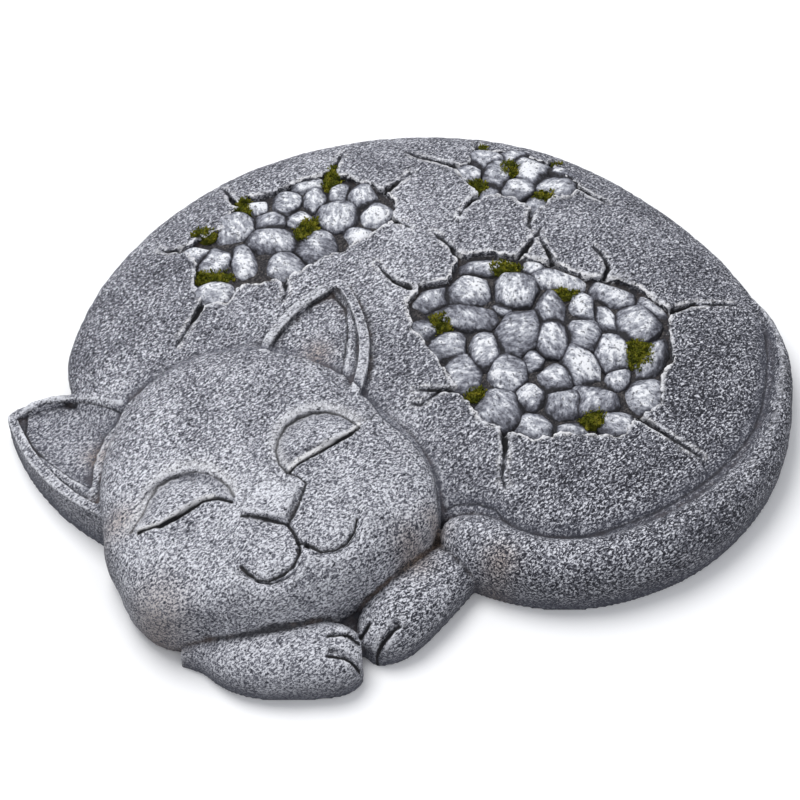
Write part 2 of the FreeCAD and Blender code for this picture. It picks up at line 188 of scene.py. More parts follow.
def keep_attribute(mesh, name, values):
    """Stores a figure, or a vector, for each point of a mesh, where its material can read it."""
    values = np.asarray(values, dtype=np.float32)
    kind, field = ("FLOAT", "value") if values.ndim == 1 else ("FLOAT_VECTOR", "vector")
    mesh.attributes.new(name, kind, "POINT").data.foreach_set(field, values.ravel())


def grain(places, size):
    """Smooth noise from -1 to 1 at places in millimetres, with swells of about that size."""
    return np.array([noise.noise(Vector(place) / size) for place in places])


def fading(distance, reach):
    """1 at no distance, falling off in a bell curve over the reach."""
    return np.exp(-(distance / reach) ** 2)


points[raised] = blurred(points, SOFTENING_ROUNDS)[raised]
plan = (points - np.array(PLAN_ORIGIN))[:, :2] / MM


def round_place(x, y, reach):
    """1 for a point at that place of the plan, falling off in a bell curve over the reach."""
    return np.exp(-((plan[:, 0] - x) ** 2 + (plan[:, 1] - y) ** 2) / reach**2)


print("points", count, "edges", len(edges))

# %% [markdown]
# Three patches of the crust are broken through to a bed of pebbles, and cracks run out of
# their corners. The outlines are the ones that the stone was drawn with, in millimetres of
# the plan. Everything near an edge is worked out from two figures per point: its distance
# from the outlines, negative inside them, and its distance from the cracks.

# %% Outlines of the pebble beds
RIGHT_HOLE = [
    (30, 66), (44, 68), (60, 66), (80, 61), (95, 52), (113, 52), (122, 46), (137, 32), (134, 18),
    (137, 1), (129, -10), (128, -28), (116, -37), (106, -48), (80, -47), (65, -51), (50, -46),
    (38, -38), (30, -24), (19, -2), (7, 16), (4, 34), (13, 47), (25, 48),
]
LEFT_HOLE = [
    (-113, 78), (-100, 85), (-91, 91), (-87, 104), (-84, 112), (-66, 117), (-50, 126), (-38, 130),
    (-24, 124), (-10, 116), (-3, 106), (-4, 92), (-15, 82), (-26, 73), (-40, 65), (-52, 56),
    (-60, 50), (-80, 48), (-89, 36), (-101, 37), (-105, 52), (-105, 66),
]
FAR_HOLE = [
    (30, 132), (37, 137), (41, 146), (52, 148), (68, 146), (79, 138), (84, 131), (95, 123),
    (91, 114), (80, 109), (73, 101), (66, 104), (55, 111), (42, 111), (36, 121),
]


def inside(outline):
    """Which points lie inside an outline: a ray to the right crosses it an odd number of times."""
    odd = np.zeros(count, dtype=bool)
    for (ax, ay), (bx, by) in zip(outline, outline[1:] + outline[:1]):
        if ay != by:
            level = (ay > plan[:, 1]) != (by > plan[:, 1])
            odd ^= level & (plan[:, 0] < ax + (plan[:, 1] - ay) * (bx - ax) / (by - ay))
    return odd


def along(path):
    """Each point's distance from a path in plan, and how far along the path it lies, from 0 to 1."""
    lengths = [math.dist(a, b) for a, b in zip(path, path[1:])]
    nearest, share, done = np.full(count, np.inf), np.zeros(count), 0.0
    for (ax, ay), (bx, by), length in zip(path, path[1:], lengths):
        t = ((plan[:, 0] - ax) * (bx - ax) + (plan[:, 1] - ay) * (by - ay)) / length**2
        t = np.clip(t, 0, 1)
        distance = np.hypot(plan[:, 0] - ax - t * (bx - ax), plan[:, 1] - ay - t * (by - ay))
        closer = distance < nearest
        nearest[closer] = distance[closer]
        share[closer] = (done + t[closer] * length) / sum(lengths)
        done += length
    return nearest, share


bed_edges = []
for outline in (RIGHT_HOLE, LEFT_HOLE, FAR_HOLE):
    distance = along(outline + outline[:1])[0]
    bed_edges.append(np.where(inside(outline), -distance, distance))
from_edge = np.minimum.reduce(bed_edges)
print("points in the pebble beds", int((from_edge < 0).sum()))

# %% Cracks
CRACKS = [
    [(30, 65), (27, 71), (20, 79), (17, 82)], [(61, 65), (71, 81), (73, 86)],
    [(80, 60), (72, 80)], [(104, 51), (107, 60), (104, 69), (100, 74)],
    [(136, 31), (148, 37), (166, 40), (172, 41)], [(116, -36), (128, -45), (141, -54), (146, -57)],
    [(50, -45), (51, -55), (49, -72), (50, -76)], [(29, -22), (20, -22), (10, -31), (6, -30)],
    [(20, -22), (8, -22)], [(5, 44), (-3, 48), (-9, 55), (-12, 60)],
    [(-112, 77), (-121, 76), (-125, 78)], [(-87, 108), (-92, 120), (-94, 124)],
    [(-37, 128), (-32, 145), (-30, 149)], [(-9, 113), (2, 124), (6, 128)],
    [(-5, 93), (2, 88), (5, 86)], [(-59, 52), (-58, 40), (-60, 36)],
    [(-100, 38), (-104, 27), (-110, 13), (-112, 8)], [(32, 132), (22, 137), (9, 143), (3, 147)],
    [(43, 145), (41, 157), (42, 160)], [(80, 136), (83, 145)], [(93, 120), (104, 112), (109, 110)],
    [(70, 103), (67, 90), (68, 86)], [(43, 112), (37, 106), (32, 97), (31, 93)],
]
CRACK_HALF_WIDTH, CRACK_WANDER, WANDER_SIZE = 1.3, 0.9, 5
wander = grain(np.column_stack([plan, np.zeros(count)]), WANDER_SIZE)
from_crack, crack = np.full(count, np.inf), np.zeros(count)
for path in CRACKS:
    distance, share = along(path)
    half = CRACK_HALF_WIDTH * (1.15 - 0.75 * share)
    open_here = fading(distance + CRACK_WANDER * wander, half) * (1 - 0.5 * share)
    crack = np.maximum(crack, open_here)
    from_crack = np.minimum(from_crack, distance)
crack[from_edge < 0] = 0
print("points on a crack", int((crack > 0.3).sum()))

# %% [markdown]
# The CAD cuts clean, deep pockets. On the real stone the beds lie shallow under a thin crust,
# and the cracks are narrow. So the depth of both is drawn in to a share of what it was, and
# the CAD's pebbles are levelled to mortar, to be made again below. That needs the level of
# the unbroken crust, which is a smooth surface fitted to the points round about: a cubic,
# fitted three times, with what stands off it left out in the next round.

# %% Shallow beds under a thin crust
BED_SHARE, CRACK_SHARE = 0.62, 0.4
MORTAR_DEPTH = 4.8 * MM
FIT_FROM, FIT_TO, FIT_CLEAR, FIT_SPAN = 2.5, 24.0, 5.0, 50
EDGE_REACH, CRACK_REACH, DEEPEST = 1.5, 3.5, 12 * MM
MORTAR_FROM = -1.0
POWERS = [(i, j) for i in range(4) for j in range(4 - i)]

for edge in bed_edges:
    centre = plan[edge < 0].mean(axis=0)
    terms = np.column_stack([
        ((plan[:, 0] - centre[0]) / FIT_SPAN) ** i * ((plan[:, 1] - centre[1]) / FIT_SPAN) ** j
        for i, j in POWERS
    ])
    ring = (edge > FIT_FROM) & (edge < FIT_TO) & raised
    ring &= (from_edge > FIT_FROM) & (from_crack > FIT_CLEAR)
    for tolerance in (3 * MM, 1 * MM, 0.5 * MM):
        fit = np.linalg.lstsq(terms[ring], points[ring, 2], rcond=None)[0]
        ring &= np.abs(terms @ fit - points[:, 2]) < tolerance
    level = terms @ fit
    depth = level - points[:, 2]
    near = (edge < EDGE_REACH) | ((edge < FIT_TO) & (from_crack < CRACK_REACH))
    near &= ((depth > 0) | (edge < MORTAR_FROM)) & (depth < DEEPEST) & raised
    sunk = depth * np.interp(edge, (0.5, 4.0), (BED_SHARE, CRACK_SHARE))
    sunk = np.where(edge < MORTAR_FROM, np.maximum(sunk, MORTAR_DEPTH), sunk)
    points[near, 2] = (level - sunk)[near]
    print("crust fitted to", int(ring.sum()), "points,", int(near.sum()), "drawn in")

# %% [markdown]
# Nothing breaks along a straight line. The edges are pushed sideways in plan by noise of three
# sizes, chips are taken off them, and the lip that is left stands up a little. Then the
# cracks are engraved as fine lines that run past the CAD's wedges. Places that are shifted by 50
# or 90 read another stretch of the same noise.

# %% Ragged edges and fine cracks
PUSHES = ((6.5, 1.6), (2.4, 1.0), (1.4, 0.5))
PUSH_REACH = 4.5
CHIP_SIZE, CHIP_DEPTH, CHIP_REACH = 4.5, 1.8 * MM, 2.2
LIP_HEIGHT, LIP_FROM_EDGE, LIP_HALF_WIDTH = 0.4 * MM, 1.2, 2
CRACK_DEPTH = 2.2 * MM

ragged = from_edge < 3 * PUSH_REACH
places = np.column_stack([plan, np.full(count, 7.0)])[ragged]
fade = fading(from_edge[ragged], PUSH_REACH)
for size, push in PUSHES:
    points[ragged, 0] += fade * push * MM * grain(places, size)
    points[ragged, 1] += fade * push * MM * grain(places + 50, size)
outside = np.maximum(from_edge[ragged], 0)
broken_off = np.clip((grain(places + 90, CHIP_SIZE) - 0.05) / 0.25, 0, 1)
chip = broken_off * np.exp(-outside / CHIP_REACH)
lip = fading(outside - LIP_FROM_EDGE, LIP_HALF_WIDTH)
points[ragged, 2] += np.where(from_edge[ragged] > 0, lip * LIP_HEIGHT - chip * CHIP_DEPTH, 0)
points[:, 2] -= crack * CRACK_DEPTH
print("ragged points", int(ragged.sum()))

# %% [markdown]
# The CAD's muzzle stands on the chin like two drums, but the real chin swells up to meet it, so
# that only a thin groove is left for the mouth. The chin is lifted all round the two lobes,
# most at their lower edge, and less and less further out.

# %% A fuller chin
LOBES = ((-61.1, -123.9), (-36.6, -109.2))
LOBE_REACH = 17.0
FACE_CENTRE, FACE_TURN = (-72.0, -78.0), math.radians(31)
CHIN_FILL, CHIN_REACH = 5.0 * MM, 16.0
CHIN_FROM, CHIN_TO, CHIN_ABOVE = -36.0, -54.0, 25 * MM
beyond = np.min([np.hypot(plan[:, 0] - x, plan[:, 1] - y) for x, y in LOBES], axis=0) - LOBE_REACH
across_face, up_face = plan[:, 0] - FACE_CENTRE[0], plan[:, 1] - FACE_CENTRE[1]
face_up = up_face * math.cos(FACE_TURN) - across_face * math.sin(FACE_TURN)
low = np.clip((face_up - CHIN_FROM) / (CHIN_TO - CHIN_FROM), 0, 1)
lift = CHIN_FILL * low * fading(np.maximum(beyond, 0), CHIN_REACH)
points[:, 2] += np.where((beyond > 0) & (points[:, 2] > CHIN_ABOVE), lift, 0)
print("chin lifted by up to", round(lift[beyond > 0].max() / MM, 1), "mm")

# %% [markdown]
# The finer forms of the head are given as the pixels of the picture that their lines pass
# through, and each pixel is followed from the camera to its place on the stone. First the lids
# and the mouth are softened, because the CAD's rims there are wider than the real ones, and the
# hollow of the near ear is evened out. Then the rims of the ears are built up.

# %% Soft lids and ears
LEFT_BROW = [
    (135, 531), (143, 514), (149, 500), (158, 486), (170, 476), (184, 471), (196, 470), (208, 472),
    (220, 478), (229, 486), (234, 496),
]
LEFT_LID = [
    (141, 531), (161, 525), (177, 518), (191, 509), (203, 501), (213, 498), (222, 498), (232, 501),
]
RIGHT_BROW = [
    (287, 471), (279, 463), (276, 451), (279, 439), (286, 427), (298, 418), (312, 413), (326, 412),
    (340, 415), (352, 421), (359, 426),
]
RIGHT_LID = [(289, 471), (298, 463), (309, 457), (326, 448), (340, 440), (351, 433), (359, 426)]
MOUTH_RIGHT = [
    (288, 524), (293, 531), (298, 541), (307, 546), (321, 550), (335, 548), (347, 541), (354, 531),
    (357, 520),
]
MOUTH_LEFT = [
    (298, 541), (300, 547), (298, 555), (293, 565), (283, 573), (269, 579), (257, 578), (248, 572),
    (241, 565),
]
MOUTH_CORNERS = [(231, 562), (351, 503)]
EAR_HOLLOW = [
    (26, 413), (44, 404), (61, 402), (80, 403), (97, 405), (121, 411), (114, 425), (104, 437),
    (96, 454), (92, 471), (90, 487), (73, 480), (49, 463), (34, 449), (25, 434),
]
EAR_RIMS = [
    [(17, 412), (34, 404), (53, 399), (75, 400), (97, 400), (124, 404)],
    [(22, 432), (30, 447), (44, 462), (60, 474), (78, 484), (91, 490)],
    [(336, 289), (348, 309), (352, 333), (348, 362), (344, 377)],
]
EYE_ROUNDS, EAR_ROUNDS = 70, 140
EYE_MARGIN, MOUTH_MARGIN, SOFT_FADE = 4, 6, 3
RIM_HALF_WIDTH, RIM_HEIGHT, RIM_ABOVE, HOLLOW_DEPTH = 2.6, 1.6 * MM, 15 * MM, 1.0 * MM

surface_normals()
sculpted = BVHTree.FromObject(casting, bpy.context.evaluated_depsgraph_get())


def seen_at(column, row):
    """The place of the plan, in millimetres, that the camera sees at a pixel of the picture."""
    half = PICTURE_PIXELS / 2
    aim = camera.rotation_euler.to_matrix() @ Vector((column - half, half - row, -FOCAL_PIXELS))
    hit = sculpted.ray_cast(camera.location, aim)[0]
    return tuple((hit - PLAN_ORIGIN).xy / MM)


def traced(pixels):
    """The places of the plan that the camera sees along a line of pixels."""
    return [seen_at(column, row) for column, row in pixels]


def within(pixels):
    """Each point's distance from an outline drawn in pixels, negative inside it."""
    outline = traced(pixels)
    distance = along(outline + outline[:1])[0]
    return np.where(inside(outline), -distance, distance)


eyes = np.minimum(within(LEFT_BROW + LEFT_LID[::-1]), within(RIGHT_BROW + RIGHT_LID[::-1]))
mouth = along(traced(MOUTH_CORNERS[:1] + MOUTH_LEFT[::-1]))[0]
mouth = np.minimum(mouth, along(traced(MOUTH_RIGHT[3:] + MOUTH_CORNERS[1:]))[0])
hollow = within(EAR_HOLLOW)
soft = np.maximum((EYE_MARGIN - eyes) / SOFT_FADE, (MOUTH_MARGIN - mouth) / SOFT_FADE)
soft = np.clip(soft, 0, 1) * raised
print("softened points of the face", int((soft > 0).sum()))
points[:, 2] += soft * (blurred(points[:, 2:], EYE_ROUNDS)[:, 0] - points[:, 2])
soft = np.clip(-hollow / SOFT_FADE, 0, 1)
points[:, 2] += soft * (blurred(points[:, 2:], EAR_ROUNDS)[:, 0] - HOLLOW_DEPTH - points[:, 2])
for pixels in EAR_RIMS:
    rim = RIM_HEIGHT * fading(along(traced(pixels))[0], RIM_HALF_WIDTH)
    points[:, 2] += np.where(points[:, 2] > RIM_ABOVE, rim, 0)
print("softened points of the ear", int((soft > 0).sum()))

# %% [markdown]
# Then come the lines. The head stands a little above the back and the ears, with a step along
# its edge that is darkened with painted shade, and a soft valley parts the tail from the back.
# The edges of the eyes, the nose, the mouth, the ears and the toes are engraved and darkened with
# painted shade. The lids and the brows have a pale edge above their line, partly dry-brushing and
# partly a painted highlight, and painted shade darkens the ear's hollow, the lids under the brows,
# the tail's valley and the foot of the walls all round.

# %% Lines of the head, the paws and the tail
HEAD_EDGE = [
    (91, 488), (92, 471), (96, 454), (104, 437), (114, 425), (121, 413), (131, 398), (145, 386),
    (160, 377), (175, 368), (194, 358), (213, 352), (233, 349), (257, 348), (269, 349), (291, 354),
    (313, 360), (330, 367), (344, 375), (361, 389), (373, 403), (380, 414), (394, 426), (413, 443),
    (425, 458), (434, 474), (438, 493), (438, 507),
]
# Two places of the plan in front of the stone, which close the outline of the head
HEAD_BELOW = [(20, -200), (-220, -200)]
BROW_STEP = [(352, 421), (361, 420), (371, 418), (377, 411)]
EYE_CREASE = [(135, 531), (125, 540), (114, 545)]
NOSE = [
    (241, 515), (253, 515), (265, 518), (279, 522), (288, 524), (295, 512), (301, 498), (306, 482),
    (298, 476), (287, 471),
]
TOES = [
    [(328, 635), (347, 634), (359, 642)], [(328, 655), (345, 658), (359, 670)],
    [(399, 625), (385, 640), (377, 658)], [(369, 625), (361, 637)],
]
TAIL_GROOVE = [
    (445, 508), (456, 503), (477, 502), (496, 508), (503, 518), (515, 526), (532, 532), (548, 535),
    (567, 536), (583, 535), (600, 532), (619, 525), (638, 518), (657, 510), (676, 500), (695, 488),
    (714, 474), (730, 459), (744, 443), (755, 427), (761, 410), (766, 385), (768, 356), (766, 333),
]
VALLEY_HALF_WIDTH, VALLEY_DEPTH, VALLEY_SHADE = 4.5, 1.0 * MM, 0.9
FOOT_HEIGHT, FOOT_SHADE = 10 * MM, 1.5
EAR_LINES = [
    EAR_HOLLOW[10:] + EAR_HOLLOW[:6], [(332, 293), (345, 310), (348, 332), (344, 360), (341, 374)],
    [(330, 292), (303, 306), (286, 323), (269, 346)],
]
# Each line with its half width and its depth in millimetres, and how dark its painted shade is
ENGRAVED = [
    (LEFT_BROW, 0.65, 1.0, 0.62), (LEFT_LID, 0.75, 1.6, 0.9), (RIGHT_BROW, 0.65, 1.0, 0.66),
    (RIGHT_LID, 0.75, 1.6, 0.9), (BROW_STEP, 0.6, 0.8, 0.5), (EYE_CREASE, 0.6, 0.5, 0.4),
    (NOSE, 0.65, 1.1, 0.72), (MOUTH_RIGHT, 0.8, 1.6, 0.75), (MOUTH_LEFT, 0.8, 1.6, 0.8),
    (HEAD_EDGE, 0.8, 0.7, 0.55), (TAIL_GROOVE, 0.9, 0.8, 0.55),
]
ENGRAVED += [(toe, 1.0, 1.6, 0.9) for toe in TOES]
ENGRAVED += [(ear, 0.7, 0.8, 0.65) for ear in EAR_LINES]
# Each line with its rise in pixels, its half width in millimetres, and how pale it is:
# the pale edge is partly dry-brushing and partly a painted highlight
PALE_AND_HIGHLIT_EDGES = [
    (LEFT_LID[:-2], 3, 0.7, 1.8), (RIGHT_LID, 3, 0.7, 1.8), (LEFT_BROW, 6, 3.0, 0.35),
    (RIGHT_BROW, 6, 3.0, 0.35),
]
STEP_DEPTH, STEP_REACH, SHADE_REACH = 1.5 * MM, 4.0, 6.0
HOLLOW_SHADE, BROW_SHADE, BROW_REACH = 0.45, 0.9, 5
CRACK_RIM, CRACK_RIM_HALF_WIDTH, CRACK_RIM_FROM_EDGE = 2.1, 0.7, 0.5

edge_path = traced(HEAD_EDGE)
from_head = along(edge_path)[0]
behind = ~inside(edge_path + HEAD_BELOW) & raised
points[:, 2] -= np.where(behind, STEP_DEPTH * fading(from_head, STEP_REACH), 0)
# Painted shade behind the head's edge, then in the ear hollow, under the brows, in the tail valley
shade = np.where(behind, fading(from_head, SHADE_REACH), 0)
shade = np.maximum(shade, np.where(hollow < 0, HOLLOW_SHADE, 0))
from_brow = np.minimum(along(traced(LEFT_BROW))[0], along(traced(RIGHT_BROW))[0])
shade = np.maximum(shade, np.where(eyes < 0, BROW_SHADE * fading(from_brow, BROW_REACH), 0))
valley = fading(along(traced(TAIL_GROOVE))[0], VALLEY_HALF_WIDTH) * raised
points[:, 2] -= VALLEY_DEPTH * valley
shade = np.maximum(shade, VALLEY_SHADE * valley)
# Painted shade at the foot of the walls, all round
shade = np.maximum(shade, FOOT_SHADE * fading(points[:, 2], FOOT_HEIGHT))
line, pale_and_highlit_edge = np.zeros(count), np.zeros(count)
# Each engraved line is darkened with painted shade, as dark as its figure says
for pixels, half, depth, shade_darkness in ENGRAVED:
    cut = fading(along(traced(pixels))[0], half)
    points[:, 2] -= cut * depth * MM
    line = np.maximum(line, cut * shade_darkness)
for pixels, rise, half, strength in PALE_AND_HIGHLIT_EDGES:
    distance = along(traced([(column, row - rise) for column, row in pixels]))[0]
    pale_and_highlit_edge = np.maximum(pale_and_highlit_edge, strength * fading(distance, half))
# Pale edges beside the cracks, in broken stretches: dry-brushing and a painted highlight
stretches = np.clip(0.3 + 1.2 * wander, 0, 0.7)
beside = fading(from_crack - CRACK_RIM, CRACK_RIM_HALF_WIDTH) * stretches
pale_and_highlit_edge = np.maximum(pale_and_highlit_edge, np.where(from_edge > CRACK_RIM_FROM_EDGE, beside, 0))
line[~raised] = 0
print("lines", len(ENGRAVED), "with", int((line > 0.5).sum()), "points")

# %% [markdown]
# The real cheek reaches further out at its lower left, and lies over the end of the near leg.
# The points round a few places are pushed sideways in plan, each less the further it lies off,
# and the end of the leg is drawn in under the cheek.

# %% A cheek that covers the leg
# A pixel of the picture, the reach, and the pushes to the right and away, in millimetres
CHEEK_PUSHES = [
    (116, 567, 12.0, -4.0, 0.0), (137, 593, 12.0, -4.0, -3.0), (163, 620, 15.0, -4.0, -8.0),
    (181, 656, 17.0, 6.0, 0.0),
]
for column, row, reach, right, ahead in CHEEK_PUSHES:
    x, y = seen_at(column, row)
    push = round_place(x, y, reach) * MM
    points[:, 0] += right * push
    points[:, 1] += ahead * push
    print("pushed round", round(x), round(y), "points", int((push > 0.5 * MM).sum()))

# %% [markdown]
# The crust is lumpy at two sizes: swells about 9 mm across left by the stippling, and grains
# of about 3 mm. Finer grit than that is left to the bump of the material. The relief is
# pressed inwards from the softened surface, so the stone keeps inside its CAD size.

# %% Lumps of the crust
LUMPS = ((9, 0.35 * MM), (2.8, 0.3 * MM))
normals = surface_normals()
relief = sum(height * grain(points / MM, size) for size, height in LUMPS)
relief -= relief[raised].max() / 2
points[raised] += (normals * relief[:, None])[raised]
points[:, 2] = np.maximum(points[:, 2], 0)
print("relief in mm", np.percentile(relief / MM, [5, 50, 95]).round(2))

# %% [markdown]
# Stain and dry-brushing follow the form, and so do painted shade in hollows and painted
# highlights on ridges, so they are measured on it: how far each point lies below or above the
# blurred surface, once over a few millimetres for grooves and rims, and once over a centimetre
# for the folds between limbs. The brushing figure is partly how hard the painter worked the
# brush and partly painted light and shade: it is higher on the face and on the middle of the back
# than on the flanks and the tail. The figures go into the mesh as attributes that the material
# reads. Only then is the mesh thinned out: the modifier keeps small faces where the surface
# bends and large ones where it is plain.

# %% Hollows, ridges, brushing and painted light and shade
FINE_ROUNDS, BROAD_ROUNDS = 26, 260
LEAST_BRUSHING_AND_LIGHT = 0.15
MOST_BRUSHING_AND_LIGHT = 1.2
# Places of the plan, each with its reach in millimetres and how much the brush pressed there,
# with painted light and shade in the same figure
BRUSHED_AND_LIT_SPOTS = (
    (-65, -90, 95, 0.55), (-58, -96, 12, 0.35), (-115, -115, 45, 0.2), (-5, -90, 30, 0.2),
    (-50, -122, 20, -0.15), (-50, -165, 55, 0.42), (-170, -45, 50, 0.35), (-10, 85, 100, 0.42),
    (15, -150, 32, 0.25), (70, -125, 45, 0.25), (190, -20, 35, -0.15),
)
COARSE_SPOTS = ((140, -20, 75, 1.1), (95, -125, 50, 1.1), (18, -150, 36, 1.2))
# Pixels of the picture where earth has dried on, each with its reach in millimetres
SOIL_PIXELS = (
    (165, 628, 11), (122, 522, 8), (415, 562, 9), (436, 536, 6), (97, 455, 7), (318, 352, 7),
    (500, 560, 8),
)
MOST_TRIANGLES = 190000
normals = surface_normals()
fine_hollow = ((blurred(points, FINE_ROUNDS) - points) * normals).sum(axis=1) / MM * raised
broad_hollow = ((blurred(points, BROAD_ROUNDS) - points) * normals).sum(axis=1) / MM * raised
# Brushing and painted light and shade in one figure: higher on the face and the middle of the back
brushing_and_light = np.full(count, LEAST_BRUSHING_AND_LIGHT)
for x, y, reach, strength in BRUSHED_AND_LIT_SPOTS:
    brushing_and_light += strength * round_place(x, y, reach)
coarse, soil = np.zeros(count), np.zeros(count)
for x, y, reach, strength in COARSE_SPOTS:
    coarse += strength * round_place(x, y, reach)
for column, row, reach in SOIL_PIXELS:
    soil += round_place(*seen_at(column, row), reach)
for name, values in (
    ("fine_hollow", fine_hollow), ("broad_hollow", broad_hollow),
    ("brushing_and_light", np.minimum(brushing_and_light, MOST_BRUSHING_AND_LIGHT)), ("coarse", np.minimum(coarse, 1)),
    ("soil", np.minimum(soil, 1)), ("shade", shade), ("from_edge", from_edge),
    ("crack", np.maximum(crack, line)), ("pale_and_highlit_edge", pale_and_highlit_edge),
):
    keep_attribute(even, name, values)
print("fine hollow", np.percentile(fine_hollow, [2, 25, 50, 75, 98]).round(2))
print("broad hollow", np.percentile(broad_hollow, [2, 25, 50, 75, 98]).round(2))

thin_out = casting.modifiers.new("thin_out", "DECIMATE")
thin_out.ratio = MOST_TRIANGLES / sum(len(p.vertices) - 2 for p in even.polygons)
graph = bpy.context.evaluated_depsgraph_get()
crust = bpy.data.meshes.new_from_object(
    casting.evaluated_get(graph), preserve_all_data_layers=True, depsgraph=graph
)
casting.modifiers.clear()
casting.data = crust
crust.shade_smooth()
triangles = sum(len(p.vertices) - 2 for p in crust.polygons)
print("crust", len(crust.vertices), "vertices", triangles, "triangles")

# %% [markdown]
# The pebbles are of one casting with the crust, but they were modelled on real ones: rounded,
# each worn flat here and there, no two alike, and nearly touching. Each is a ball, squared up
# slightly, with a few flats ground on it and dents from noise, then drawn out to its length
# and width, tilted and turned. It stands where the CAD has it, and the wider it is, the further
# it stands out of the mortar.

# %% Pebbles
# Each with its place in the plan, its length and width in millimetres, and its turn in degrees
RIGHT_PEBBLES = [
    (45, 61, 26, 11, 8), (68, 61, 11, 10, 0), (81, 51, 25, 13, -8), (58, 44, 24, 20, 85),
    (36, 43, 20, 19, 0), (15, 38, 18, 13, 25), (33, 26, 30, 14, -4), (52, 31, 11, 7, -30),
    (60, 17, 26, 18, 72), (76, 32, 19, 13, 95), (92, 33, 16, 12, 95), (104, 28, 18, 8, 115),
    (108, 43, 19, 13, -20), (128, 37, 17, 10, -50), (119, 22, 22, 19, 85), (92, 16, 19, 14, 95),
    (77, 12, 21, 13, 90), (108, 6, 22, 16, 88), (90, -5, 21, 15, 112), (42, 5, 20, 15, 90),
    (24, 8, 19, 15, 80), (13, 18, 13, 11, 0), (31, -10, 21, 17, 110), (52, -10, 20, 16, 85),
    (67, -2, 12, 9, 80), (76, -12, 17, 15, 90), (64, -24, 15, 13, 45), (47, -33, 23, 21, 90),
    (79, -29, 18, 17, 0), (95, -25, 19, 18, 0), (108, -13, 14, 11, 60), (120, -22, 19, 17, 60),
    (125, 3, 26, 12, 58), (107, -39, 16, 15, 0), (65, -42, 18, 14, 0), (83, -43, 15, 8, 0),
]
LEFT_PEBBLES = [
    (-76, 107, 13, 10, 10), (-60, 108, 16, 15, 90), (-45, 109, 17, 11, 75), (-33, 115, 14, 9, 75),
    (-19, 112, 19, 14, 95), (-14, 98, 19, 15, 55), (-33, 96, 21, 19, 80), (-53, 96, 14, 11, 60),
    (-67, 95, 15, 12, 0), (-87, 89, 20, 17, 40), (-105, 74, 13, 12, 0), (-95, 67, 17, 14, 45),
    (-65, 80, 23, 18, 0), (-44, 76, 22, 18, 105), (-23, 82, 14, 13, 0), (-80, 64, 22, 12, 105),
    (-59, 61, 17, 16, 90), (-94, 45, 19, 15, 0), (-48, 123, 14, 8, 20),
]
FAR_PEBBLES = [
    (37, 130, 12, 10, 60), (46, 140, 13, 11, 0), (51, 127, 16, 10, 80), (61, 143, 13, 8, 5),
    (69, 132, 17, 15, 60), (81, 120, 17, 14, 0), (62, 117, 13, 11, 0), (71, 107, 13, 9, 75),
    (47, 115, 10, 8, 60), (87, 130, 11, 7, -30),
]
RINGS, SPOKES = 16, 30
PEBBLE_GROWTH, FAR_GROWTH = 1.46, 1.75
PEBBLE_FULLNESS = 0.46
LOWEST_TOP, TOP_PER_WIDTH = 0.9, 0.235
LOWEST_POLAR = math.radians(115)
SQUARENESS = 0.85
FLATS, FLAT_FROM, FLAT_TO, GROUND_AWAY = 9, 0.80, 0.95, 0.85
DENTS = ((1.1, 0.10), (0.4, 0.04))
MOST_LEAN = 0.14
random = np.random.default_rng(11)
beds = BVHTree.FromObject(casting, bpy.context.evaluated_depsgraph_get())


def plumb(tree, x, y):
    """Height in metres at which a plumb line at a place of the plan meets a surface, or None."""
    start = PLAN_ORIGIN + Vector((x, y, 100)) * MM
    hit = tree.ray_cast(start, Vector((0, 0, -1)))[0]
    return None if hit is None else hit.z


def squared(values):
    """Sines or cosines, pushed a little towards 1, so that a circle becomes squarish."""
    return np.sign(values) * np.abs(values) ** SQUARENESS


def ringed_faces(first, rings, spokes):
    """Faces of a cap whose points run in rings from the top down: the top, then the rest."""
    faces = [[first + i for i in range(spokes)]]
    for ring in range(rings - 1):
        here, below = first + ring * spokes, first + (ring + 1) * spokes
        for spoke in range(spokes):
            after = (spoke + 1) % spokes
            faces.append([here + spoke, below + spoke, below + after, here + after])
    return faces


def worn_ball():
    """Points of a ball about 1 in radius, in rings from the top down, with flats and dents."""
    turns = np.linspace(0, math.tau, SPOKES, endpoint=False)
    polar, around = np.meshgrid(np.linspace(0.02, LOWEST_POLAR, RINGS), turns, indexing="ij")
    across = squared(np.sin(polar))
    ball = np.stack(
        [across * squared(np.cos(around)), across * squared(np.sin(around)), np.cos(polar)], axis=-1
    ).reshape(-1, 3)
    for _ in range(FLATS):
        facing = random.normal(size=3)
        facing[2] = abs(facing[2])
        facing /= np.linalg.norm(facing)
        proud = np.maximum(ball @ facing - random.uniform(FLAT_FROM, FLAT_TO), 0)
        ball -= GROUND_AWAY * proud[:, None] * facing
    drift = random.uniform(0, 100, 3)
    dents = sum(depth * grain(ball + drift, size) for size, depth in DENTS)
    return ball * (1 + dents)[:, None]


